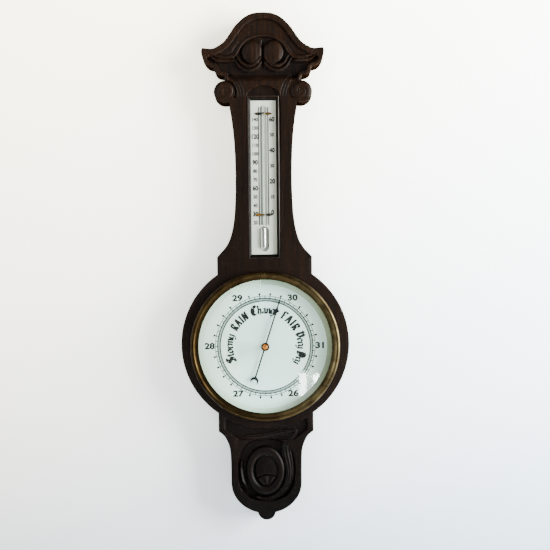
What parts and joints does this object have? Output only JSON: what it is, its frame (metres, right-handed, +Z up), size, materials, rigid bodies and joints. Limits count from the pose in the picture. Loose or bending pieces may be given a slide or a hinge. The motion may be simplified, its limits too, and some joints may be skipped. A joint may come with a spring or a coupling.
{
  "type": "aneroid barometer",
  "caption": "Wall-hung aneroid barometer: carved oak banjo case, round dial with bevelled glass and brass bezel, set hand, thermometer in the neck.",
  "frame": {"origin": "where the dial's axis meets the wall plane, on the back of the rear cover", "axes": "+Z up the case, +X to the viewer's right, +Y into the wall; the front faces -Y"},
  "size_m": [0.254, 0.051, 0.769],
  "materials": {
    "oak": "dark stained quarter-sawn oak, satin wax",
    "ebonised_oak": "dark stained moulding, satin",
    "cover_brass": "plain lacquered brass, dulled",
    "bezel_brass": "spun brass, brown with age, worn bright on the bead",
    "bevelled_glass": "clear plate glass, polished, ground bevel",
    "dial_enamel": "white printed dial, satin, slightly yellowed",
    "movement_brass": "lacquered brass",
    "capsule_metal": "nickel silver, pressed corrugations",
    "bracket_iron": "blackened cast iron",
    "movement_steel": "fine brushed steel",
    "blued_steel": "blued steel",
    "hand_steel": "dark blued steel, satin",
    "set_hand_bronze": "darkened bronze, satin",
    "knob_brass": "turned brass, worn coppery in the middle",
    "screw_steel": "steel, slightly dulled",
    "scale_opal": "opal glass, satin glaze",
    "tube_glass": "clear glass, polished",
    "mercury": "liquid silver",
    "clip_brass": "aged brass strap"
  },
  "bodies": {
    "case": {"arbor_cock": "movement_brass", "base_plate": "movement_brass", "bezel": "bezel_brass", "bezel_pin_1": "bezel_brass", "bezel_pin_2": "bezel_brass", "bezel_pin_3": "bezel_brass", "capsule_back": "capsule_metal", "case_board": "oak", "clip_pin_1_left": "clip_brass", "clip_pin_1_right": "clip_brass", "clip_pin_2_left": "clip_brass", "clip_pin_2_right": "clip_brass", "cock_pillar_1": "movement_brass", "cock_pillar_2": "movement_brass", "cover_glass": "bevelled_glass", "cover_screw_1": "screw_steel", "cover_screw_2": "screw_steel", "cover_screw_3": "screw_steel", "cover_screw_4": "screw_steel", "dial_pillar_1": "movement_brass", "dial_pillar_2": "movement_brass", "dial_pillar_3": "movement_brass", "dial_plate": "dial_enamel", "glass_retaining_ring": "bezel_brass", "hairspring_stud": "movement_brass", "hanger_plate": "cover_brass", "hanger_screw_1": "screw_steel", "hanger_screw_2": "screw_steel", "mercury_bulb": "mercury", "rear_cover": "cover_brass", "rocker_cock_lower": "movement_brass", "rocker_cock_upper": "movement_brass", "spindle_bush": "knob_brass", "spring_bracket": "bracket_iron", "thermometer_frame": "ebonised_oak", "thermometer_scale": "scale_opal", "thermometer_tube": "tube_glass", "tube_clip_1": "clip_brass", "tube_clip_2": "clip_brass"},
    "hand": {"hand_arbor": "movement_steel", "indicating_hand": "hand_steel", "hairspring": "blued_steel"},
    "set_hand": {"set_hand": "set_hand_bronze", "set_hand_spindle": "knob_brass", "spring_washer": "knob_brass", "set_hand_knob": "knob_brass"},
    "rocker": {"rocker": "movement_steel"},
    "chain": {"chain": "movement_steel"},
    "link": {"lever_link": "movement_steel"},
    "lever": {"mainspring": "movement_steel", "main_lever": "movement_steel", "lever_screw": "blued_steel"},
    "capsule": {"capsule_front": "capsule_metal"},
    "adjuster": {"adjusting_screw": "screw_steel"}
  },
  "joints": [
    {"name": "hand_turn", "type": "hinge", "parent": "case", "child": "hand", "pos_m": [0, -0.031, 0], "axis": [0, 1, 0], "range_deg": [-228.23, 72.07], "stiffness_Nm_per_rad": 0.0007, "deforming": ["hairspring"]},
    {"name": "rocker_turn", "type": "hinge", "parent": "case", "child": "rocker", "pos_m": [-0.03, -0.01, 0], "axis": [0, 0, 1], "range_deg": [-34.23, 10.81]},
    {"name": "chain_slide", "type": "slide", "parent": "case", "child": "chain", "axis": [1, 0, 0], "range_m": [-0.00598, 0.00189], "deforming": ["chain"]},
    {"name": "link_slide", "type": "slide", "parent": "case", "child": "link", "axis": [0, 1, 0], "range_m": [-0.00149, 0.00047]},
    {"name": "lever_rock", "type": "hinge", "parent": "case", "child": "lever", "pos_m": [0, -0.0137, 0.028], "axis": [1, 0, 0], "range_deg": [-1.48, 0.47]},
    {"name": "capsule_slide", "type": "slide", "parent": "case", "child": "capsule", "axis": [0, 1, 0], "range_m": [-0.0007204, 0.0002275]},
    {"name": "set_hand_turn", "type": "hinge", "parent": "case", "child": "set_hand", "pos_m": [0, -0.036, 0], "axis": [0, 1, 0], "continuous": true},
    {"name": "adjuster_turn", "type": "hinge", "parent": "case", "child": "adjuster", "pos_m": [0, -0.005, 0.03], "axis": [0, 1, 0], "continuous": true}
  ],
  "couplings": [
    {"joint": "lever_rock", "follows": "capsule_slide", "rad_per_m": 35.714},
    {"joint": "link_slide", "follows": "capsule_slide", "ratio": 2.0714},
    {"joint": "chain_slide", "follows": "capsule_slide", "ratio": 8.2857},
    {"joint": "rocker_turn", "follows": "capsule_slide", "rad_per_m": 828.57},
    {"joint": "hand_turn", "follows": "capsule_slide", "rad_per_m": 5523.8}
  ]
}
